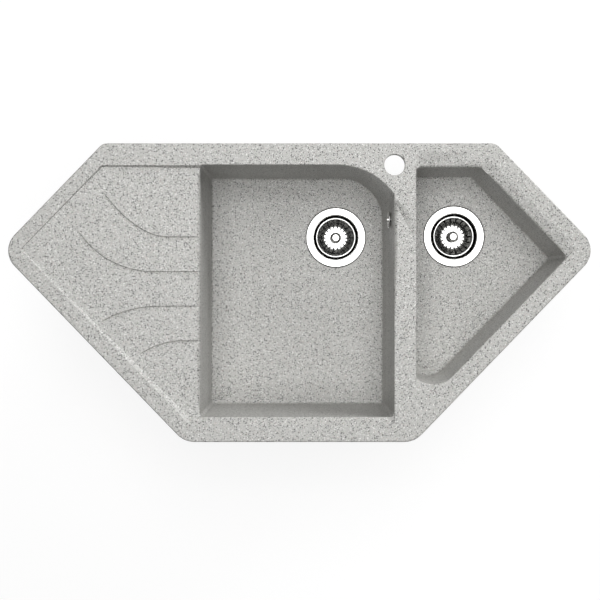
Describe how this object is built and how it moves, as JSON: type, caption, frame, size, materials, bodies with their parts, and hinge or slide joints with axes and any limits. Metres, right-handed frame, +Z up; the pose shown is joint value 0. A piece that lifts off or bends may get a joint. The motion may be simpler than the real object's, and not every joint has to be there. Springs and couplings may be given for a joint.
{
  "type": "corner kitchen sink",
  "caption": "Inset corner kitchen sink in speckled composite with a grooved drainer, a main bowl, a half bowl, a tap hole and lift-out basket strainers.",
  "frame": {"origin": "on the rim's underside, which rests on the worktop, in the middle of the back edge and 11 mm in from it", "axes": "+X to the right along the back edge, towards the half bowl; +Y to the back; +Z up, out of the bowls"},
  "size_m": [0.9728, 0.499, 0.294],
  "materials": {
    "composite": "fine matt speckled granite composite",
    "polished_steel": "polished stainless steel",
    "zinc_steel": "bright zinc-plated steel",
    "black_rubber": "smooth black rubber",
    "grey_plastic": "moulded grey plastic",
    "sealing_foam": "soft closed-cell foam"
  },
  "bodies": {
    "sink": {"sink_body": "composite", "overflow_rosette": "polished_steel", "overflow_screw": "polished_steel", "overflow_gasket": "black_rubber", "overflow_elbow": "grey_plastic", "overflow_hose": "grey_plastic", "overflow_hose_clips": "zinc_steel", "rim_seal": "sealing_foam", "rim_clips": "zinc_steel", "rim_clip_screws": "zinc_steel", "rim_clip_jack_screws": "zinc_steel", "main_strainer_cup": "polished_steel", "main_flange_seal": "black_rubber", "main_clamp_screw": "zinc_steel", "main_waste_gasket": "black_rubber", "main_waste_body": "grey_plastic", "half_strainer_cup": "polished_steel", "half_flange_seal": "black_rubber", "half_clamp_screw": "zinc_steel", "half_waste_gasket": "black_rubber", "half_waste_body": "grey_plastic"},
    "main_plug": {"main_stem": "zinc_steel", "main_stopper_nut": "zinc_steel", "main_stopper": "black_rubber"},
    "main_strainer": {"main_basket": "polished_steel", "main_basket_knob": "polished_steel"},
    "half_plug": {"half_stem": "zinc_steel", "half_stopper_nut": "zinc_steel", "half_stopper": "black_rubber"},
    "half_strainer": {"half_basket": "polished_steel", "half_basket_knob": "polished_steel"}
  },
  "joints": [
    {"name": "main_lift", "type": "slide", "parent": "sink", "child": "main_plug", "axis": [0, 0, 1], "range_m": [0, 0.075]},
    {"name": "main_turn", "type": "hinge", "parent": "main_plug", "child": "main_strainer", "pos_m": [0.0655, -0.14, -0.212], "axis": [0, 0, 1], "continuous": true},
    {"name": "half_lift", "type": "slide", "parent": "sink", "child": "half_plug", "axis": [0, 0, 1], "range_m": [0, 0.075]},
    {"name": "half_turn", "type": "hinge", "parent": "half_plug", "child": "half_strainer", "pos_m": [0.272, -0.14, -0.157], "axis": [0, 0, 1], "continuous": true}
  ]
}
